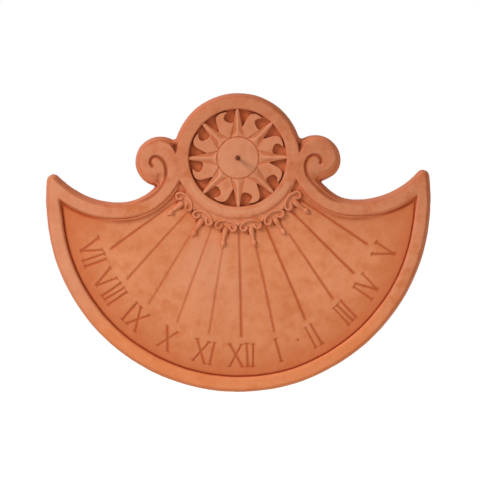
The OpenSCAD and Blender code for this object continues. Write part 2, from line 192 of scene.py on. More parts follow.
def uneven(points):
    """Moves points the way hand-pressed clay strays from its drawing, the same everywhere, and
    not at all at the gnomon hole."""
    from_hole = np.hypot(points[:, 0], points[:, 2]) / MM
    held = rise(from_hole, true_r, wavy_r)
    from_foot = np.hypot(points[:, 0] / MM - raised_at[0], points[:, 2] / MM - raised_at[1])
    moved = points.copy()
    moved[:, 2] += raised_by * ease(1 - from_foot / raised_reach) * MM
    for i, p in enumerate(points):
        shift = Vector()
        for length, height in WAVES:
            shift += noise.noise_vector(Vector(p) / (length * MM)) * height * MM
        moved[i] += np.array(shift) * held[i]
    return np.clip(moved, np.array(cad_low), np.array(cad_high))


def clay_piece(obj, material, *nodes):
    """Makes a clay piece uneven, gives it material and body, and hides the nodes it replaces."""
    set_points(obj, uneven(get_points(obj)))
    obj.data.shade_smooth()
    obj.data.update()
    obj.data.materials.clear()
    obj.data.materials.append(material)
    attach(obj, "plaque")
    if nodes:
        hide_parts(*nodes)


# Outlines in the flat drawing

def even_steps(points, step):
    """A closed outline with a point about every step mm."""
    made = []
    for p, q in zip(points, np.roll(points, -1, axis=0)):
        count = max(1, round(np.linalg.norm(q - p) / step))
        made += [p + (q - p) * i / count for i in range(count)]
    return np.array(made)


def area_of(points):
    """Signed area of a closed outline."""
    x, y = points[:, 0], points[:, 1]
    return (x * np.roll(y, -1) - y * np.roll(x, -1)).sum() / 2


def inward(outline):
    """The direction from each point of a closed outline into it."""
    along = np.roll(outline, -1, axis=0) - np.roll(outline, 1, axis=0)
    side = np.stack([-along[:, 1], along[:, 0]], axis=1)
    return side / np.linalg.norm(side, axis=1)[:, None]


def to_outline(points, outline):
    """Each point's distance to an outline, and whether it lies inside."""
    near = np.full(len(points), 1e9)
    inside = np.zeros(len(points), bool)
    for p, q in zip(outline, np.roll(outline, -1, axis=0)):
        d = q - p
        t = np.clip(((points - p) @ d) / (d @ d), 0, 1)
        near = np.minimum(near, np.linalg.norm(points - p - t[:, None] * d, axis=1))
        crosses = (p[1] > points[:, 1]) != (q[1] > points[:, 1])
        with np.errstate(divide="ignore", invalid="ignore"):
            x = p[0] + (points[:, 1] - p[1]) * d[0] / d[1]
        inside ^= crosses & (points[:, 0] < x)
    return near, inside


def to_path(points, path):
    """Each point's distance to an open path, how far along it lies (0 to 1), and its side."""
    near = np.full(len(points), 1e9)
    share = np.zeros(len(points))
    aside = np.zeros(len(points))
    count = len(path) - 1
    for i in range(count):
        p, d = path[i], path[i + 1] - path[i]
        t = np.clip(((points - p) @ d) / (d @ d), 0, 1)
        off = points - p - t[:, None] * d
        far = np.linalg.norm(off, axis=1)
        closer = far < near
        near[closer] = far[closer]
        share[closer] = (i + t[closer]) / count
        aside[closer] = np.sign(d[0] * off[closer, 1] - d[1] * off[closer, 0])
    return near, share, aside


def smooth_path(path, rounds=3):
    """A path with its corners cut off, a few times over."""
    path = np.array(path, float)
    for _ in range(rounds):
        made = [path[0]]
        for p, q in zip(path, path[1:]):
            made += [p * 0.75 + q * 0.25, p * 0.25 + q * 0.75]
        path = np.array(made + [path[-1]])
    return path


def from_photo(path):
    """Places of the photograph, in its pixels, as mm of the drawing."""
    turn = math.radians(photo_roll)
    made = []
    for px, py in path:
        right = (px - photo_arc_px[0]) * photo_mm
        up = (photo_arc_px[1] - py) * photo_mm
        made.append((right * math.cos(turn) + up * math.sin(turn),
                     up * math.cos(turn) - right * math.sin(turn) - arc_drop))
    return made


def arc(centre, r, start, end, steps):
    """Points on a circle, from one angle to the other, counted from the x axis."""
    return [(centre[0] + r * math.cos(math.radians(start + (end - start) * i / steps)),
             centre[1] + r * math.sin(math.radians(start + (end - start) * i / steps)))
            for i in range(steps + 1)]


def open_loops(edges_after):
    """The loops that a table of each vertex's two neighbours holds, as x and y in mm."""
    loops = []
    left = set(edges_after)
    while left:
        start = left.pop()
        loop = [start]
        before, here = None, start
        while True:
            step = next(v for v in edges_after[here] if v is not before)
            if step is start:
                break
            loop.append(step)
            left.discard(step)
            before, here = here, step
        loops.append(np.array([(v.co.x / MM, v.co.z / MM) for v in loop]))
    return loops


def node_outline(node, height):
    """The outer outline, in mm, of a node's underside at a height."""
    bm = bmesh.new()
    bm.from_mesh(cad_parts[node].data)
    bmesh.ops.remove_doubles(bm, verts=bm.verts, dist=1e-6)
    bmesh.ops.recalc_face_normals(bm, faces=bm.faces)
    under = {f for f in bm.faces
             if f.normal.y > 0.99 and abs(f.calc_center_median().y / MM + height) < 0.1}
    after = {}
    for e in bm.edges:
        if sum(f in under for f in e.link_faces) == 1:
            for v in e.verts:
                after.setdefault(v, []).append(e.other_vert(v))
    loops = open_loops(after)
    bm.free()
    widest = max(loops, key=lambda points: abs(area_of(points)))
    return widest if area_of(widest) > 0 else widest[::-1]


# Camera: the angle it looks down at, its distance in metres and the width of its film

camera_elevation = 2.5
camera_distance = 4.2
sensor = 36


def make_camera():
    """A long lens at the photograph's place, scale and tilt."""
    cam = bpy.data.cameras.new("camera")
    cam.sensor_width = sensor
    width = photo_size * photo_mm * MM
    cam.lens = sensor * camera_distance / width
    cam.clip_end = 50
    obj = new_object("camera", cam)
    middle = photo_size / 2
    dx = (middle - photo_arc_px[0]) * photo_mm
    dy = (photo_arc_px[1] - middle) * photo_mm
    target = flat(dx, -arc_drop + dy, rim_top)
    lift = math.radians(camera_elevation)
    back = Vector((0, -math.cos(lift), math.sin(lift)))
    place = target + back * camera_distance
    turn = (-back).to_track_quat("-Z", "Y").to_matrix()
    roll = Matrix.Rotation(math.radians(photo_roll), 3, back)
    obj.matrix_world = Matrix.Translation(place) @ (roll.inverted() @ turn).to_4x4()
    bpy.context.scene.camera = obj


make_camera()


# Shader nodes

class Graph:
    """Adds nodes to a node tree and joins them up."""

    def __init__(self, tree):
        self.tree = tree

    def feed(self, socket, value):
        """Links a value into a socket, or sets the socket to a number or a colour."""
        if isinstance(value, bpy.types.NodeSocket):
            self.tree.links.new(value, socket)
        elif isinstance(value, tuple):
            socket.default_value = (*value, 1)
        else:
            socket.default_value = value

    def fill(self, node, inputs):
        """Feeds inputs of a node by their names or numbers."""
        for key, value in inputs.items():
            self.feed(node.inputs[key], value)

    def add(self, kind, inputs, **settings):
        """A new node with the given settings and inputs."""
        node = self.tree.nodes.new("ShaderNode" + kind)
        for name, setting in settings.items():
            setattr(node, name, setting)
        self.fill(node, inputs)
        return node

    def math(self, operation, first, second):
        return self.add("Math", {0: first, 1: second}, operation=operation).outputs[0]

    def times(self, first, second):
        return self.math("MULTIPLY", first, second)

    def place(self):
        """The place on the object, in metres."""
        return self.add("TexCoord", {}).outputs["Object"]

    def parts(self, vector):
        """The x, y and z of a vector."""
        return self.add("SeparateXYZ", {0: vector}).outputs

    def spread(self, value, low, high):
        """Stretches low..high of a value to 0..1."""
        return self.add("MapRange", {"Value": value, "From Min": low, "From Max": high}).outputs[0]

    def between(self, value, low, high):
        """Stretches 0..1 of a value to low..high."""
        return self.add("MapRange", {"Value": value, "To Min": low, "To Max": high}).outputs[0]

    def noise(self, size, detail, low, high, rough=0.55):
        """Noise with patches of a size in mm, stretched from low..high to 0..1."""
        tex = self.add("TexNoise", {"Vector": self.place(), "Scale": 1 / (size * MM),
                                    "Detail": detail, "Roughness": rough})
        return self.spread(tex.outputs["Fac"], low, high)

    def blend(self, value, first, second):
        """Mixes two colours by a value."""
        return self.add("Mix", {0: value, 6: first, 7: second}, data_type="RGBA").outputs[2]

    def lay(self, colour, value, strength, over):
        """Lays a second colour over a first where a value is high."""
        return self.blend(self.times(value, strength), colour, over)

    def hollow(self, width, low, high):
        """1 deep in hollows narrower than width mm, 0 on open ground."""
        node = self.add("AmbientOcclusion", {"Distance": width * MM}, samples=16)
        return self.spread(node.outputs["AO"], high, low)

    def painted(self, name):
        """A value that the piece's own mesh carries."""
        return self.add("Attribute", {}, attribute_name=name).outputs["Fac"]

    def bump(self, height, strength, distance):
        """A bump node, distance mm high."""
        return self.add("Bump", {"Height": height, "Strength": strength,
                                 "Distance": distance * MM})


def new_material(name):
    """A material, the graph of its nodes and its shader."""
    mat = bpy.data.materials.new(name)
    mat.use_nodes = True
    return mat, Graph(mat.node_tree), mat.node_tree.nodes["Principled BSDF"]


# Light and stage

white = (1, 1, 1)
fill_colour = (1.0, 0.985, 0.96)
fill_level = 0.42
floor_grey = (0.85, 0.85, 0.85)
floor_glow = 0.8
floor_half = 12
floor_z = -1.1

# The lamps: place, size in metres and power in watts
lamp_aim = (0, 0, -0.1)
LAMPS = {
    "key": ((-1.7, -1.4, 1.3), 0.95, 46),
    "front": ((0.6, -2.9, 0.2), 1.8, 14),
}


def area_lamp(name, place, size, power):
    """A square soft lamp, turned to the plaque."""
    light = bpy.data.lights.new(name, "AREA")
    light.size = size
    light.energy = power
    obj = new_object(name, light)
    obj.location = place
    obj.rotation_mode = "QUATERNION"
    obj.rotation_quaternion = (Vector(lamp_aim) - Vector(place)).to_track_quat("-Z", "Y")


def seen_or_mirrored(graph):
    """A value that is 1 for what the camera, a gloss or a clear surface sees directly."""
    path = graph.add("LightPath", {}).outputs
    seen = graph.math("MAXIMUM", path["Is Camera Ray"], path["Is Glossy Ray"])
    return graph.math("MAXIMUM", seen, path["Is Transmission Ray"])


def make_world():
    """White where it is seen, and a soft even fill on the object."""
    world = bpy.data.worlds.new("studio")
    bpy.context.scene.world = world
    world.use_nodes = True
    world.node_tree.nodes.clear()
    graph = Graph(world.node_tree)
    fill = graph.add("Background", {"Color": fill_colour, "Strength": fill_level})
    seen = graph.add("Background", {"Color": white, "Strength": 1})
    mix = graph.add("MixShader", {0: seen_or_mirrored(graph), 1: fill.outputs[0],
                                  2: seen.outputs[0]})
    graph.add("OutputWorld", {"Surface": mix.outputs[0]})


def floor_material():
    """Pale floor that keeps shadows and is white where nothing shades it."""
    mat, graph, _ = new_material("floor")
    mat.node_tree.nodes.clear()
    paint = graph.add("BsdfDiffuse", {"Color": floor_grey})
    level = graph.times(seen_or_mirrored(graph), floor_glow)
    glow = graph.add("Emission", {"Strength": level})
    both = graph.add("AddShader", {0: paint.outputs[0], 1: glow.outputs[0]})
    graph.add("OutputMaterial", {"Surface": both.outputs[0]})
    return mat


def make_stage():
    """The floor, well below the hanging plaque."""
    corners = [(x * floor_half, y * floor_half, floor_z)
               for x, y in ((-1, -1), (1, -1), (1, 1), (-1, 1))]
    floor = mesh_object("floor", corners, [(0, 1, 2, 3)])
    floor.data.materials.append(floor_material())


make_world()
make_stage()
for name, (place, size, power) in LAMPS.items():
    area_lamp(name, place, size, power)


# Terracotta

# Linear colours: the dial's clay and the rims', and how mottling deepens or pales them
orange = (0.660, 0.222, 0.092)
pink = (0.655, 0.230, 0.106)
deeper = (0.90, 0.72, 0.54)
paler = (1.12, 1.22, 1.34)

# Painted light and shade on the walls, by the side that they face, and how strongly they take it
left_wall = (0.62, 0.185, 0.100)
right_wall = (0.60, 0.150, 0.045)
under_wall = (0.80, 0.250, 0.100)
wall_strength = 0.65

# Colours laid over the clay: the strength and the colour of each
# Darker toward the top, and more on the upper right
smoke = (0.5, (0.42, 0.124, 0.050))
right_smoke = (0.4, (0.37, 0.108, 0.044))
# Deeper orange by the lower rim on the dial, and as painted shade on the ring's ground
burnt = (0.85, (0.57, 0.138, 0.041))
# Pale lime streaks, and painted highlights on the ring's inner edge, the left rim and the sun
lime = (0.55, (0.70, 0.295, 0.160))
# Painted light on the right scroll's outer edge and on the lower rim
lit_edge = (0.6, (0.80, 0.235, 0.075))
# Dark wash along lines and joints, with painted shade in folds, grooves, feet and flanks
dirty_line = (0.75, (0.42, 0.066, 0.012))
# Painted shadow at the foot of the ring's wall, in the grooves and in the notches
soot = (0.85, (0.20, 0.025, 0.003))
specks = (0.3, (0.30, 0.09, 0.04))

# How far up, and for the right-hand one how far right, the darkening begins and is whole
smoke_up = (-120, 90)
smoke_right = (20, 130)

# The mottling: patch size, detail, roughness, the range of the noise that shows, its strength
# on the dial, what the rims add to that, and what it does to the colour
MOTTLES = [
    (48, 4, 0.55, (0.38, 0.62), 0.8, 0, paler),
    (17, 5, 0.55, (0.47, 0.66), 0.65, 0.325, deeper),
    (7, 4, 0.55, (0.5, 0.72), 0.5, 0.25, paler),
    (3.5, 6, 0.7, (0.5, 0.8), 0.5, 0.25, deeper),
]

# Painted shade in hollows: their width, how open they are from darkest to unshaded, strength,
# colour
HOLLOWS = [
    (16, (0.45, 0.92), 0.6, (0.56, 0.125, 0.038)),
    (7, (0.3, 0.75), 0.75, (0.36, 0.065, 0.018)),
    (3, (0.1, 0.4), 0.4, (0.15, 0.028, 0.010)),
]


def mottled(graph, tone):
    """The clay's own colour; tone shifts it from the dial's orange (0) to the rims' pink (1)."""
    base = tuple(a + (b - a) * tone for a, b in zip(orange, pink))
    colour = base
    for size, detail, rough, shown, strength, more, change in MOTTLES:
        patches = graph.noise(size, detail, *shown, rough)
        changed = tuple(min(1, c * k) for c, k in zip(base, change))
        colour = graph.lay(colour, patches, strength + more * tone, changed)
    return colour


def weathered(graph, colour):
    """Darkens the upper parts, most on the right; lays on the deeper orange, partly painted
    shade, and the pale lime, partly painted highlight.
    """
    spot = graph.parts(graph.place())
    upward = graph.spread(spot["Z"], smoke_up[0] * MM, smoke_up[1] * MM)
    rightward = graph.spread(spot["X"], smoke_right[0] * MM, smoke_right[1] * MM)
    colour = graph.lay(colour, upward, *smoke)
    colour = graph.lay(colour, graph.times(rightward, upward), *right_smoke)
    colour = graph.lay(colour, graph.painted("rimward"), *burnt)
    return graph.lay(colour, graph.painted("bloom"), *lime)


def walled(graph, colour):
    """Paints light and shade on the walls by the side they face, and lays on the painted light."""
    facing = graph.parts(graph.add("NewGeometry", {}).outputs["Normal"])
    side = graph.blend(graph.spread(facing["X"], -0.1, 0.5), left_wall, right_wall)
    side = graph.blend(graph.spread(facing["Z"], -0.1, -0.6), side, under_wall)
    colour = graph.lay(colour, graph.spread(facing["Y"], -0.93, -0.55), wall_strength, side)
    return graph.lay(colour, graph.painted("glow"), *lit_edge)


def dirtied(graph, colour):
    """Lays painted shade in hollows, the dark wash and painted shadow, and a few specks."""
    dirty = graph.spread(graph.painted("clean"), 1.4, 0)
    for width, shown, strength, dirt in HOLLOWS:
        share = graph.times(graph.hollow(width, *shown), dirty)
        colour = graph.lay(colour, share, strength, dirt)
    colour = graph.lay(colour, graph.painted("wash"), *dirty_line)
    colour = graph.lay(colour, graph.painted("soot"), *soot)
    return graph.lay(colour, graph.noise(1.6, 2, 0.68, 0.78), *specks)


def terracotta(name, tone):
    """Fired clay: mottled, painted shade in its hollows, painted light and shade on its walls, and
    paler with lime, wear and painted highlight.
    """
    mat, graph, shader = new_material(name)
    colour = dirtied(graph, walled(graph, weathered(graph, mottled(graph, tone))))
    roughness = graph.between(graph.noise(9, 4, 0.3, 0.7), 0.82, 0.97)
    grain = graph.bump(graph.noise(0.9, 4, 0.3, 0.7, 0.7), 0.55, 0.12)
    lumps = graph.bump(graph.noise(7, 3, 0.3, 0.7), 0.5, 0.5)
    graph.fill(lumps, {"Normal": grain.outputs["Normal"]})
    graph.fill(shader, {"Base Color": colour, "Roughness": roughness,
                        "Specular IOR Level": 0.25, "Normal": lumps.outputs["Normal"]})
    return mat


rim_clay = terracotta("rim_clay", 1.0)
dial_clay = terracotta("dial_clay", 0.0)


# Body of the plaque: slab, rims, scrolls and ring in one skin

BODY_NODES = ["back_slab", "lower_rim", "left_scroll", "right_scroll", "medallion_ring"]
body_voxel = 0.85

# The ledge under the tops of the shells: its edges' radii, how far to either side of straight
# down they reach, and its height above the panel
ledge_r = (76, 85.5)
ledge_reach = (outer_shell + 12, outer_shell + 1)
ledge_rise = 3.1

# The part's own grooves, which are filled: the centre and radius of their turn round the eye,
# and the neck's circle that they come from
turn_at = (100.9, -6.9)
turn_r = 10.6
neck_at = (154.5, 9)

# The grooves of the scrolls as they run in the photograph, in its pixels: from the curl's eye
# round it and down along the neck, where they become the break of its outer wall
LEFT_GROOVE = [(153.8, 167.1), (151.2, 164.2), (150.9, 160.8), (152.9, 157.5), (157.1, 156.3),
               (161.7, 158.6), (164.8, 162.4), (166.5, 167.2), (167.0, 172.5), (166.2, 178.0),
               (163.6, 184.0), (159.6, 190.0), (153.8, 195.4), (146.5, 199.8), (136, 203.6)]
RIGHT_GROOVE = [(320.5, 164.0), (321.9, 160.0), (319.3, 155.6), (314.5, 154.2), (309.5, 156.4),
                (306.4, 161.0), (305.6, 166.5), (306.4, 172.5), (309.0, 178.4), (312.8, 184.4),
                (317.4, 189.6), (324.0, 195.4), (333.0, 200.4), (345.0, 203.2)]
groove_half = 2.7
groove_deep = 2.5
neck_share = 0.55

# The notches between scrolls and ring, in the photograph's pixels, darkened with painted
# shade, and how far it reaches
NOTCHES = [((175.5, 149.0), 7.5), ((298.8, 148.5), 7.5)]

# Where the filled grooves ran out into the necks, how far round them the clay is smoothed
# there, in how many rounds, and above which height
FILLED = [((-99, -25), 12, 30), ((99, -24), 12, 30), ((-103, -27), 9, 80), ((102, -25), 9, 80)]
smoothed_h = 12

# The right scroll, whose outer edge is worn round
right_scroll_at = (100.5, -4)
worn_rounds = 16

# The fold of the faces along the outer edge: how far in, its half width and its depth; and the
# necks, where the groove takes its place
fold_in = 5.4
fold_half = 2.2
fold_deep = 0.6
NECKS = [(-100, -38), (98, -34)]

# The lower rim's inner wall: the radius of its foot and how far its upper edge leans in
lower_foot_r = np.hypot(0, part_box("dial_panel")[0].z / MM + arc_drop)
wall_lean_in = 2.1

# The ring: the radius of its hollow, how far its edge by the shells is pressed down, and the
# radius of the joint there
ring_hollow_r = 68
ring_slope = 1.8
ring_joint_r = 78.9

# The heights where the body's paint begins and is whole, so that its back stays plain
front_h = (9, 13)


def add_block(bm, outline, h0, h1):
    """Adds an upright block with the given outline, from height h0 to h1, to a bmesh."""
    base = [bm.verts.new(flat(x, y, h0)) for x, y in outline]
    face = bm.faces.new(base)
    made = bmesh.ops.extrude_face_region(bm, geom=[face])
    for v in made["geom"]:
        if isinstance(v, bmesh.types.BMVert):
            v.co.y = -h1 * MM


def add_ledge(bm):
    """Adds the low ledge outside the ring."""
    inner, outer = [arc((0, 0), r, -90 - reach, -90 + reach, 40)
                    for r, reach in zip(ledge_r, ledge_reach)]
    add_block(bm, inner + outer[::-1], slab_top - 1, panel_top + ledge_rise)


def add_groove_plugs(bm, side):
    """Adds the blocks that fill the part's own groove on one side: its turn round the eye and
    two pieces beside the neck."""
    turn = arc(turn_at, turn_r + 2.2, 0, 351, 39)
    neck = arc(neck_at, 69.6, 184, 206, 8) + arc(neck_at, 64.6, 206, 184, 8)
    foot = arc(neck_at, 68.6, 205, 214, 4) + arc(neck_at, 64.8, 214, 205, 4)
    for outline, sunk in ((turn, 0), (neck, 0.3), (foot, 1.5)):
        add_block(bm, [(side * x, y) for x, y in outline], slab_top, rim_top - sunk)


def by_right_scroll(x, y):
    """1 along the outer edge of the right scroll."""
    r = np.hypot(x - right_scroll_at[0], y - right_scroll_at[1])
    return rise(r, 19, 23) * rise(r, 40, 37) * rise(x, 88, 96)


def relax(verts, rounds):
    """Moves each vertex halfway to the middle of its neighbours, a number of times."""
    around = [[e.other_vert(v) for e in v.link_edges] for v in verts]
    for _ in range(rounds):
        middles = [sum((n.co for n in near), Vector()) / len(near) for near in around]
        for v, middle in zip(verts, middles):
            v.co = v.co.lerp(middle, 0.5)


def settle(obj):
    """Smooths the skin where the grooves were filled, and the right scroll's edge."""
    bm = bmesh.new()
    bm.from_mesh(obj.data)
    worn = [v for v in bm.verts if v.co.x > 80 * MM and v.co.y < -panel_top * MM
            and by_right_scroll(v.co.x / MM, v.co.z / MM) > 0.3]
    relax(worn, worn_rounds)
    for (x, y), reach, rounds in FILLED:
        near = [v for v in bm.verts
                if math.hypot(v.co.x / MM - x, v.co.z / MM - y) < reach
                and v.co.y < -smoothed_h * MM]
        relax(near, rounds)
    bm.to_mesh(obj.data)
    bm.free()


def edge_fold(x, y, h):
    """How strong the fold along the outer edge is at each point."""
    high = np.flatnonzero(h > rim_top - 7)
    near = np.full(len(x), 99.0)
    edge = node_outline("back_slab", 0)
    near[high] = to_outline(np.stack([x[high], y[high]], axis=1), edge)[0]
    fold = ease(1 - np.abs(near - fold_in) / fold_half)
    for x0, y0 in NECKS:
        fold *= 1 - rise(np.hypot(x - x0, y - y0), 32, 12)
    fold *= 1 - 0.8 * by_right_scroll(x, y) * rise(y, -14, -6)
    upper = rise(y, -120, -40)
    right = rise(x, 0, 200)
    return fold * np.maximum(0.3, np.maximum(upper, 0.6 * right))


def press_grooves(points):
    """Presses the grooves, and beside the necks the clay outside them; gives the painted shade
    of the grooves."""
    drawn = points[:, (0, 2)] / MM
    dark = np.zeros(len(points))
    high = -points[:, 1] / MM > rim_top - 6
    for path, outer in ((LEFT_GROOVE, -1), (RIGHT_GROOVE, 1)):
        path = smooth_path(from_photo(path))
        box_low, box_high = path.min(0) - 12, path.max(0) + 12
        here = np.flatnonzero(high & (drawn > box_low).all(1) & (drawn < box_high).all(1))
        near, share, aside = to_path(drawn[here], path)
        neck = rise(share, neck_share, neck_share + 0.12)
        ends = rise(share, -0.02, 0.03) * rise(share, 1, 0.88)
        half = groove_half * (1 - 0.15 * neck)
        press = groove_deep * (1 - 0.45 * neck) * ends * ease(1 - near / half)
        slope = neck * ends * np.clip(near * 0.4, 0, 2) * (aside == outer) * rise(near, 12, 8)
        points[here, 1] += (press + slope) * MM
        shade = ends * (0.9 + 0.1 * neck) * ease(1.3 - near / half)
        dark[here] = np.maximum(dark[here], shade)
    return dark


def steepen_lower_rim(points):
    """Moves the upper edge of the lower rim's inner wall toward the dial."""
    x, y = points[:, 0] / MM, points[:, 2] / MM + arc_drop
    r = np.hypot(x, y)
    out = r - lower_foot_r
    high = rise(-points[:, 1] / MM, panel_top - 0.5, panel_top + 1.5)
    low_down = rise(points[:, 2] / MM, -50, -80)
    shift = wall_lean_in * rise(out, 0, 1.5) * rise(out, 8.5, 3) * high * low_down
    points[:, 0] -= x / r * shift * MM
    points[:, 2] -= y / r * shift * MM


def by_shells(x, y):
    """1 on the side of the ring that the shells hang from."""
    return rise(from_down(x, y), outer_shell + 14, outer_shell + 8)


def paint_dark(obj, x, y, h, fold, groove):
    """Paints painted shadow in notches, grooves and the shaded foot of the ring's wall, and a
    dark wash with painted shade in the fold, grooves and ring's foot, and along the shells' joint."""
    r = np.hypot(x, y)
    front = rise(h, *front_h)
    by_wall = rise(r, ring_hollow_r + 2, ring_hollow_r + 0.5)
    # Painted shadow at the foot of the ring's wall, strongest on the side away from the light
    shaded = 0.15 + 0.85 * rise(0.85 * x + 0.5 * y, 55, -55)
    wall_foot = rise(r, 58.5, 62.5) * by_wall * rise(h, 23.5, 20.5)
    soot = np.maximum(0.75 * shaded * wall_foot, 0.5 * groove)
    for place, reach in NOTCHES:
        x0, y0 = from_photo([place])[0]
        notch = rise(np.hypot(x - x0, y - y0), 1.5 * reach, 0.5 * reach)
        soot = np.maximum(soot, notch * rise(h, 25, 23.5))
    paint(obj, soot=soot * front)
    # Dark wash with painted shade in the fold, the grooves and the ring's foot, and a darker line
    # where the ring meets the ledge
    ring_foot = rise(r, 64, 66) * rise(r, ring_hollow_r + 2, ring_hollow_r) * rise(h, 22, 19)
    joint = by_shells(x, y) * rise(np.abs(r - ring_joint_r), 2.21, 0.51)
    wash = np.maximum(np.maximum(fold * 0.55, 0.65 * groove), 0.75 * ring_foot)
    paint(obj, wash=np.maximum(wash, 0.45 * joint) * front)


def paint_pale(obj, x, y, h):
    """Paints the ground inside the ring deeper orange as painted shade, the ring's worn inner edge
    and the left rim paler as painted highlight, painted light on the lower rim and lit edges,
    and the parts that take less painted hollow shade.
    """
    r = np.hypot(x, y)
    front = rise(h, *front_h)
    # Painted shade: the ground in the ring's hollow takes the deeper orange
    in_ring = rise(r, ring_hollow_r + 1, ring_hollow_r - 1) * rise(h, rim_top - 1, rim_top - 4)
    paint(obj, rimward=0.75 * in_ring * front)
    # Painted highlight on the ring's worn inner edge by the shells, and painted light on the left
    # rim
    worn = 0.9 * by_shells(x, y) * rise(r, 67, 69) * rise(r, 75, 70)
    left_rim = 0.7 * rise(x, -150, -210) * rise(y, 40, 0)
    paint(obj, bloom=np.maximum(worn, left_rim) * front)
    lit = 0.8 * by_right_scroll(x, y) * rise(h, rim_top - 0.4, rim_top - 1.9) * front
    paint(obj, glow=np.maximum(rise(y, -150, -250), lit))
    # Less of the painted hollow shade below the ring's shell side and on the ring's ground
    below = from_down(x, y) < outer_shell + 10
    paint(obj, clean=np.maximum(below * rise(r, 72, 75), 0.5 * in_ring))


def finish_body(obj):
    """Presses the marks of hand work into the skin and paints it."""
    points = get_points(obj)
    x, y, h = points[:, 0] / MM, points[:, 2] / MM, -points[:, 1] / MM
    r = np.hypot(x, y)
    fold = edge_fold(x, y, h)
    points[:, 1] += fold * fold_deep * MM
    groove = press_grooves(points)
    steepen_lower_rim(points)
    ledge_top = panel_top + ledge_rise
    ring_edge = rise(r, 75.6, 79) * rise(r, 86, 84) * rise(h, ledge_top, ledge_top + 1.9)
    points[:, 1] += by_shells(x, y) * ring_edge * ring_slope * MM
    set_points(obj, points)
    paint_dark(obj, x, y, h, fold, groove)
    paint_pale(obj, x, y, h)


def make_body():
    """The plaque's body."""
    obj = solids_copy("plaque_body", BODY_NODES)
    bm = bmesh.new()
    bm.from_mesh(obj.data)
    add_ledge(bm)
    for side in (-1, 1):
        add_groove_plugs(bm, side)
    bmesh.ops.recalc_face_normals(bm, faces=bm.faces)
    bm.to_mesh(obj.data)
    bm.free()
    soften(obj, body_voxel, 2)
    settle(obj)
    finish_body(obj)
    clay_piece(obj, rim_clay, *BODY_NODES)


make_body()


# Strokes engraved in the dial

# How many degrees each hour line, from VII to V, strays from its even step, and how strongly
# it is cut
LINES = [(0.4, 0.9), (1.3, 0.76), (1.35, 0.57), (1.3, 0.57), (1.2, 0.58), (0.6, 0.85),
         (0.15, 0.8), (-0.2, 1.1), (0.1, 0.85), (0.1, 1.3), (0.2, 1.4)]
morning_line = 4.0
evening_line = 4.4

# Each hour's letters, with their places across the numeral
NUMERALS = [
    ("V", -6, "I", 7, "I", 14.4),
    ("V", -10.4, "I", 5, "I", 11.6, "I", 18.8),
    ("I", -7.9, "X", 7),
    ("X", 3),
    ("X", -0.2, "I", 14.2),
    ("X", -4.2, "I", 9.8, "I", 17),
    ("I", 0.3),
    ("I", -4.5, "I", 4.3),
    ("I", -6, "I", 0.5, "I", 7.3),
    ("I", -14.8, "V", -1.2),
    ("V", -2.4),
]
numeral_r = 200
numeral_step = 14.25
thick_stroke = 4.0
thin_stroke = 3.2
serif_wide = 2.6

# The dot between two hours: its radius and its place, counted in numeral steps from XII
dot_r = 196
dot_step = 1.58


def cut(x0, y0, x1, y1, width, depth, end_width=None):
    """One engraved stroke: where it starts and ends, its half widths there, and its depth."""
    return (x0, y0, x1, y1, width / 2, (end_width or width) / 2, depth)


def hour_line(k, stray, strength):
    """The line k steps from XII: soft by the shells, then clear, then a firm end."""
    a = math.radians(k * hour_step + stray)
    below_drop = abs(k) in (1, 3)
    start = shell_circle_r + (30 if below_drop else 8)
    soft = start + 34
    end = arc_drop * math.cos(a) + math.sqrt(line_end_r ** 2 - (arc_drop * math.sin(a)) ** 2)
    firm = end - 9
    wide = morning_line if k < 0 else evening_line
    p, q, u, v = [(r * math.sin(a), r * -math.cos(a)) for r in (start, soft, firm, end)]
    return [
        cut(*p, *q, wide * 0.9, 0.85 * strength),
        cut(*q, *u, wide * 0.9, 1.0 * strength, wide),
        cut(*u, *v, wide, 1.05 * strength, wide * 1.1),
    ]


def hour_lines():
    """The eleven lines that run from the shells down to the numerals."""
    cuts = []
    for k, (stray, strength) in enumerate(LINES, -5):
        cuts += hour_line(k, stray, strength)
    return cuts


def letter(kind, x):
    """The strokes of one Roman letter of the dial, 29 mm high, at x."""
    top, bottom = 14, -15
    if kind == "I":
        return [(x, top, x, bottom)]
    if kind == "V":
        return [(x - 9, top, x, bottom + 1.5), (x + 7, top - 0.5, x, bottom + 1.5)]
    return [(x - 8.3, top, x + 7.7, bottom - 0.5), (x + 7.3, top - 1, x - 8, bottom)]


def numeral(letters, a, stray):
    """One hour at an angle from straight down, its foot outward, with small serifs."""
    place = Vector((numeral_r * math.sin(a), -arc_drop - numeral_r * math.cos(a)))
    across = Vector((math.cos(a), math.sin(a)))
    up = Vector((-math.sin(a), math.cos(a)))
    strokes = []
    for kind, x in zip(letters[0::2], letters[1::2]):
        strokes += letter(kind, x)
    cuts = []
    for stroke in strokes:
        x0, y0, x1, y1 = np.array(stroke) + stray.normal(0, 0.35, 4)
        p = place + across * x0 + up * y0
        q = place + across * x1 + up * y1
        depth = stray.uniform(0.85, 1.25)
        wide = thick_stroke if x1 >= x0 else thin_stroke
        cuts.append(cut(*p, *q, wide, depth))
        for end in (p, q):
            half = across * stray.uniform(1.4, 2.4)
            cuts.append(cut(*(end - half), *(end + half), serif_wide, depth * 0.8))
    return cuts


def numerals():
    """The hours from VII to V, and the dot."""
    stray = np.random.default_rng(7)
    cuts = []
    for n, letters in enumerate(NUMERALS):
        cuts += numeral(letters, math.radians((n - 5) * numeral_step), stray)
    a = math.radians(dot_step * numeral_step)
    x, y = dot_r * math.sin(a), -arc_drop - dot_r * math.cos(a)
    return cuts + [cut(x, y, x + 0.3, y, 4, 1.1)]


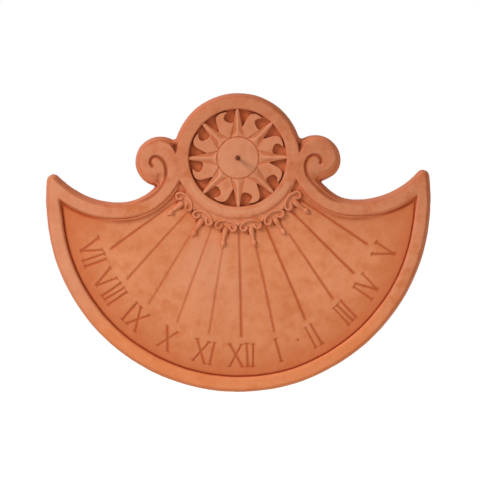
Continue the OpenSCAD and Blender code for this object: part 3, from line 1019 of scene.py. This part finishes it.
def shell_xy(x, y, a):
    """A place in a shell's own drawing, whose y points at the gnomon, on the plaque; a is the
    shell's angle from straight down."""
    s, c = math.sin(math.radians(a)), math.cos(math.radians(a))
    r = shell_circle_r - y
    return x * c + r * s, x * s - r * c


def drop_pits():
    """Two small pits beside the top of every drop, under its shell's curls."""
    cuts = []
    for i in range(6):
        a = (i - 2.5) * shell_step
        for side in (-1, 1):
            start = shell_xy(side * 3.9, -7.2, a)
            end = shell_xy(side * 4.6, -9, a)
            cuts.append(cut(*start, *end, 3.4, 1.6))
    return cuts


def to_stroke(points, stroke):
    """How far points lie from a stroke's middle line, and its half width there."""
    x0, y0, x1, y1, w0, w1, _ = stroke
    a = np.array((x0, y0))
    d = np.array((x1, y1)) - a
    t = np.clip(((points - a) @ d) / (d @ d), 0, 1)
    return np.linalg.norm(points - a - t[:, None] * d, axis=1), w0 + (w1 - w0) * t


def carved(points, cuts):
    """How deep the strokes cut at each point, and their dark wash with painted shade there."""
    depth = np.zeros(len(points))
    wash = np.zeros(len(points))
    for stroke in cuts:
        deep = stroke[-1]
        far, half = to_stroke(points, stroke)
        depth = np.maximum(depth, deep * np.clip(1 - far / half, 0, 1))
        wash = np.maximum(wash, ease(1.3 - far / half) * min(1, deep * 1.1))
    return depth, wash


# Dial panel: a sheet with the strokes cut into it

# The sheet's points: the step along its outline, the insets of the rows beside it, the step
# along a stroke and the rows beside that in half widths, and the open grid's step with the
# share of it between two rows
outline_step = 2.5
INSETS = (1.5, 3.0, 3.7, 4.4, 5.1, 6.0, 7.4, 9.0)
stroke_step = 2.2
BESIDE = (-1.6, -1, -0.5, 0.5, 1, 1.6)
grid_step = 2.3
row_share = 0.866

# How far the sheet reaches under the rims, the height and width of its rise to the upper ones,
# and the wings' corners, where it rises too, with how far round them
tuck = 3.0
cove_up = 3.5
cove_wide = 6.5
wing_corner = (231, -50)
corner_reach = 10
corner_up = 3.6

# The line at the lower rim's foot: how far in, its depth and width, and what the left adds
foot_in = 0.9
foot_depth = 1.2
foot_width = 1.6
left_depth = 0.5
left_width = 0.6


def stroke_rows(stroke):
    """The points of a stroke's middle line, and rows of points beside and beyond it."""
    x0, y0, x1, y1, w0, w1, _ = stroke
    a, b = np.array((x0, y0)), np.array((x1, y1))
    length = np.linalg.norm(b - a)
    along = (b - a) / length
    side = np.array((-along[1], along[0]))
    t = np.linspace(0, 1, max(2, int(length / stroke_step)))[:, None]
    half = w0 + (w1 - w0) * t
    middle = a + (b - a) * t
    rows = [middle + side * half * out for out in BESIDE]
    return middle, rows + [np.array([a - along * w0, b + along * w1])]


def open_grid(outline, cuts):
    """A grid of points inside an outline, clear of it and of the strokes."""
    low, high = outline.min(0), outline.max(0)
    rows = int((high[1] - low[1]) / (grid_step * row_share)) + 1
    columns = int((high[0] - low[0]) / grid_step) + 2
    grid = np.array([(low[0] + (i + 0.5 * (j % 2)) * grid_step,
                      low[1] + j * grid_step * row_share)
                     for j in range(rows) for i in range(columns)])
    near, inside = to_outline(grid, outline)
    grid = grid[inside & (near > 10)]
    clear = np.full(len(grid), True)
    for stroke in cuts:
        far, _ = to_stroke(grid, stroke)
        clear &= far > max(stroke[4], stroke[5]) * 1.6 + 0.7
    return grid[clear]


def panel_points(outline, cuts):
    """Points and constraint edges of the sheet."""
    points = list(outline)
    edges = [(i, (i + 1) % len(outline)) for i in range(len(outline))]
    rows = [outline + inward(outline) * inset for inset in INSETS]
    for stroke in cuts:
        middle, beside = stroke_rows(stroke)
        start = len(points)
        points += list(middle)
        edges += [(start + i, start + i + 1) for i in range(len(middle) - 1)]
        rows += beside
    rows = np.concatenate(rows)
    near, inside = to_outline(rows, outline)
    points += list(rows[inside & (near > 0.6)])
    return points + list(open_grid(outline, cuts)), edges


def bloom(points):
    """Pale streaks of lime that run down the middle of the dial from the shells."""
    r = np.hypot(points[:, 0], points[:, 1])
    a = np.degrees(np.arctan2(points[:, 0], -points[:, 1]))
    along = rise(r, 95, 125) * rise(r, 235, 165)
    across = rise(np.abs(a + 11), 28.6, 6.6)
    streak = [0.6 + 0.9 * noise.noise((v * 0.22, d / 90, 3.0)) for v, d in zip(a, r)]
    return along * across * np.array(streak)


def by_lower_rim(points):
    """0 at the lower centre to 1 by the lower rim."""
    return rise(np.hypot(points[:, 0], points[:, 1] + arc_drop), 150, 210)


def rim_foot(points, near):
    """The depth and the painted shade of the line at the lower rim's foot."""
    leftward = rise(points[:, 0], 150, -150)
    deep = by_lower_rim(points) * (foot_depth + left_depth * leftward)
    wide = foot_width + left_width * leftward
    foot = deep * (1 - np.clip((near - foot_in) / wide, 0, 1)) ** 1.3
    return foot, ease(1.3 - (near - foot_in) / wide) * deep / 1.5


def rim_cove(points, near):
    """The sheet's rise toward the upper rims and the wings' corners, and its painted shade."""
    x, y = points[:, 0], points[:, 1]
    by_upper_rim = (1 - by_lower_rim(points)) * rise(np.hypot(x, y), 84, 90)
    cove = cove_up * by_upper_rim * np.clip(1 - near / cove_wide, 0, 1) ** 2
    cove = cove - np.clip(-near - 0.8, 0, None) * 1.1 * by_upper_rim
    from_corner = np.hypot(np.abs(x) - wing_corner[0], y - wing_corner[1])
    cove = np.maximum(cove, corner_up * ease(1.25 - from_corner / corner_reach))
    return cove, 0.6 * by_upper_rim * rise(np.abs(near - 1.6), 3.68, 0.48)


def close_sheet(obj):
    """Gives the sheet walls down into the slab and a flat underside."""
    bm = bmesh.new()
    bm.from_mesh(obj.data)
    rim = [e for e in bm.edges if len(e.link_faces) == 1]
    made = bmesh.ops.extrude_edge_only(bm, edges=rim)
    for v in made["geom"]:
        if isinstance(v, bmesh.types.BMVert):
            v.co.y = -(slab_top - 0.4) * MM
    open_edges = [e for e in bm.edges if len(e.link_faces) == 1]
    bmesh.ops.triangle_fill(bm, edges=open_edges, use_beauty=True)
    bmesh.ops.recalc_face_normals(bm, faces=bm.faces)
    bm.to_mesh(obj.data)
    bm.free()


def make_panel():
    """The sunk dial with its lines, numerals and pits."""
    cuts = hour_lines() + numerals() + drop_pits()
    drawn = even_steps(node_outline("dial_panel", slab_top), outline_step)
    outline = drawn - inward(drawn) * tuck
    points, edges = panel_points(outline, cuts)
    ring = list(range(len(outline)))
    made = geometry.delaunay_2d_cdt([Vector(p) for p in points], edges, [ring], 1, 1e-4)
    sheet = np.array([tuple(v) for v in made[0]])
    near, inside = to_outline(sheet, drawn)
    near = np.where(inside, near, -near)
    depth, wash = carved(sheet, cuts)
    foot, foot_wash = rim_foot(sheet, near)
    cove, cove_wash = rim_cove(sheet, near)
    height = panel_top - np.maximum(depth, foot) + cove
    verts = [flat(x, y, h) for (x, y), h in zip(sheet, height)]
    faces = [f[::-1] if area_of(sheet[list(f)]) < 0 else f for f in made[2]]
    obj = mesh_object("dial_face", verts, faces)
    paint(obj, wash=np.maximum(wash, np.maximum(foot_wash, cove_wash)))
    paint(obj, rimward=by_lower_rim(sheet) * (1 - near / 45))
    paint(obj, bloom=bloom(sheet))
    close_sheet(obj)
    clay_piece(obj, dial_clay, "dial_panel")


make_panel()


# Sun

RAYS = range(1, 9)
disc_voxel = 0.6
ray_voxel = 0.5
bed_voxel = 0.55

# How far the rays' tips are drawn out, from which radius and over what length, and how steeply
# their flanks fall away from the ridge
ray_stretch = 2.2
stretch_from = 30
stretch_length = 32
ray_fall = 0.28

# Where the disc meets the rays, and how much of the relief's height the slip fills
joint_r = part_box("sun_disc")[1].x / MM
slip_share = 0.93


def shape_ray(obj):
    """Draws a straight ray out until its tip runs into the ring's wall, and sharpens its
    ridge."""
    points = get_points(obj)
    r = np.hypot(points[:, 0], points[:, 2]) / MM
    axis = points[:, (0, 2)].mean(0)
    axis /= np.linalg.norm(axis)
    aside = np.abs(points[:, 0] * axis[1] - points[:, 2] * axis[0])
    raised = rise(-points[:, 1] / MM, slab_top, slab_top + 3)
    points[:, 1] += aside * ray_fall * raised * rise(r, 26, 38)
    out = 1 + ray_stretch * np.clip(r - stretch_from, 0, None) / stretch_length / r
    points[:, 0] *= out
    points[:, 2] *= out
    set_points(obj, points)


def paint_relief(obj, pale):
    """Paints painted shade on a sun piece's flanks, its dark joint, and its pale face,
    partly painted highlight.
    """
    points = get_points(obj)
    h = -points[:, 1] / MM
    top = h.max()
    flank = 0.75 * rise(h, top - 1.3, top - 3.8)
    from_joint = np.abs(np.hypot(points[:, 0], points[:, 2]) / MM - joint_r)
    paint(obj, wash=np.maximum(flank, 0.5 * rise(from_joint, 1.875, 0.375)))
    # Paler face, partly painted highlight
    paint(obj, bloom=pale * rise(h, top - 2.5, top - 1))


def make_relief(name, voxel, rounds, pale):
    """One raised piece of the sun."""
    obj = solids_copy("clay_" + name, [name])
    soften(obj, voxel, rounds)
    if name.startswith("straight_ray"):
        shape_ray(obj)
    paint_relief(obj, pale)
    clay_piece(obj, rim_clay, name)


def make_sun_bed():
    """Slip that fills the joints between disc, rays and flames, just below their faces."""
    nodes = ["sun_disc"]
    nodes += [f"straight_ray_{i}" for i in RAYS] + [f"flame_ray_{i}" for i in RAYS]
    obj = solids_copy("sun_bed", nodes)
    points = get_points(obj)
    points[:, 1] = -slab_top * MM + (points[:, 1] + slab_top * MM) * slip_share
    set_points(obj, points)
    soften(obj, bed_voxel, 2)
    paint(obj, wash=np.full(len(obj.data.vertices), 0.45))
    clay_piece(obj, rim_clay)


make_sun_bed()
make_relief("sun_disc", disc_voxel, 7, 0.75)
for i in RAYS:
    make_relief(f"straight_ray_{i}", ray_voxel, 2, 0.75)
    make_relief(f"flame_ray_{i}", ray_voxel, 6, 0.35)


# Shells and drops

fine_voxel = 0.42

# A shell's bead in its own drawing: an arch with a curl at either end
arch_r = 18
arch_half = 42
arch_top = 7.0
arch_at = (0, arch_top - arch_r)
curl_r = 4.3
curl_x = (arch_r - curl_r) * math.sin(math.radians(arch_half))
curl_y = arch_top - arch_r + (arch_r - curl_r) * math.cos(math.radians(arch_half))
bead_r = 1.7

# Heights above the panel: the bead's middle line, its root's, the shell's field and the drops'
# middle line
bead_rise = 3.2
root_rise = 1.4
field_rise = 1.9
drop_rise = 0.4

# A drop from its top to its tip: the share of its length and the radius there
drop_length = 28
DROP_PROFILE = [(0, 2.4), (0.03, 3.6), (0.1, 4.2), (0.25, 3.7), (0.4, 3.0), (0.52, 2.4),
                (0.58, 2.1), (0.61, 2.2), (0.64, 3.0), (0.69, 3.65), (0.75, 3.85), (0.81, 3.5),
                (0.855, 2.6), (0.88, 1.7), (0.91, 1.3), (0.94, 1.2), (0.97, 0.9), (1, 0.4)]


def shell_bead():
    """The bead's middle line, from the left curl over the arch to the right curl."""
    right = arc(arch_at, arch_r, 90, 90 - arch_half, 8)
    right += arc((curl_x, curl_y), curl_r, 90 - arch_half, -100, 14)[1:]
    right += arc((curl_x - 0.9, curl_y - 0.2), curl_r - 1.1, -120, -215, 9)[1:]
    left = [(-x, y) for x, y in right[:0:-1]]
    return left + right


def shell_field():
    """The outline of the clay inside a shell's bead."""
    right = [(curl_x + 3, curl_y - 2), (curl_x - 2, curl_y - 3.5), (3, curl_y - 3.2)]
    left = [(-x, y) for x, y in right[::-1]]
    return arc(arch_at, arch_r, 90 + arch_half, 90 - arch_half, 12) + right + left


def add_tube(bm, points, radii, sides=10):
    """Adds a closed round tube along points in metres to a bmesh."""
    rings = []
    across = Vector((0, 1, 0))
    for i, p in enumerate(points):
        along = (points[min(i + 1, len(points) - 1)] - points[max(i - 1, 0)]).normalized()
        side = along.cross(across).normalized()
        rings.append([bm.verts.new(p + (side * math.cos(t) + across * math.sin(t)) * radii[i])
                      for t in [2 * math.pi * k / sides for k in range(sides)]])
    for a, b in zip(rings, rings[1:]):
        for k in range(sides):
            bm.faces.new((a[k], a[(k + 1) % sides], b[(k + 1) % sides], b[k]))
    bm.faces.new(rings[0])
    bm.faces.new(rings[-1][::-1])


def fine_piece(name, bm, rounds):
    """Makes a shell or drop of a bmesh, free of the painted shade that lies in the other hollows.
    """
    bmesh.ops.recalc_face_normals(bm, faces=bm.faces)
    obj = bmesh_object("clay_" + name, bm)
    soften(obj, fine_voxel, rounds)
    paint(obj, clean=np.ones(len(obj.data.vertices)))
    clay_piece(obj, rim_clay, name)


def make_shell(i):
    """A shell: a bead that thins toward its curls, on a thicker root, round a low field."""
    a = (i - 3.5) * shell_step
    bm = bmesh.new()
    bead = shell_bead()
    last = len(bead) - 1
    top = [flat(*shell_xy(x, y, a), panel_top + bead_rise) for x, y in bead]
    taper = [min(1, 0.78 + 0.3 * min(k, last - k) / 10) for k in range(len(bead))]
    add_tube(bm, top, [bead_r * t * MM for t in taper])
    root = [flat(*shell_xy(x, y, a), panel_top + root_rise) for x, y in bead]
    add_tube(bm, root, [bead_r * 1.05 * MM] * len(root))
    outline = [shell_xy(x, y, a) for x, y in shell_field()]
    add_block(bm, outline, panel_top - 0.6, panel_top + field_rise)
    fine_piece(f"shell_{i}", bm, 2)


def make_drop(i):
    """A drop: an inverted cone down to a ball with a small tip, half sunk in the panel."""
    a = (i - 3.5) * shell_step
    start = curl_y - 1.2
    points = [flat(*shell_xy(0, start - drop_length * t, a), panel_top + drop_rise)
              for t, _ in DROP_PROFILE]
    bm = bmesh.new()
    add_tube(bm, points, [r * MM for _, r in DROP_PROFILE], 16)
    fine_piece(f"drop_{i}", bm, 1)


for i in range(1, 7):
    make_shell(i)
    make_drop(i)


# Gnomon pin

def iron():
    """Dark, lightly rusted iron."""
    mat, graph, shader = new_material("iron")
    tex = graph.add("TexNoise", {"Vector": graph.place(), "Scale": 1 / (1.8 * MM), "Detail": 5})
    rust = tex.outputs["Fac"]
    colour = graph.blend(graph.spread(rust, 0.4, 0.68), (0.10, 0.028, 0.011),
                         (0.20, 0.060, 0.024))
    graph.fill(shader, {"Base Color": colour, "Roughness": graph.between(rust, 0.7, 0.95),
                        "Specular IOR Level": 0.15,
                        "Normal": graph.bump(rust, 0.4, 0.1).outputs["Normal"]})
    return mat


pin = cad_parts["gnomon_pin"]
pin.data.materials.clear()
pin.data.materials.append(iron())


bpy.context.scene.view_settings.view_transform = "Standard"
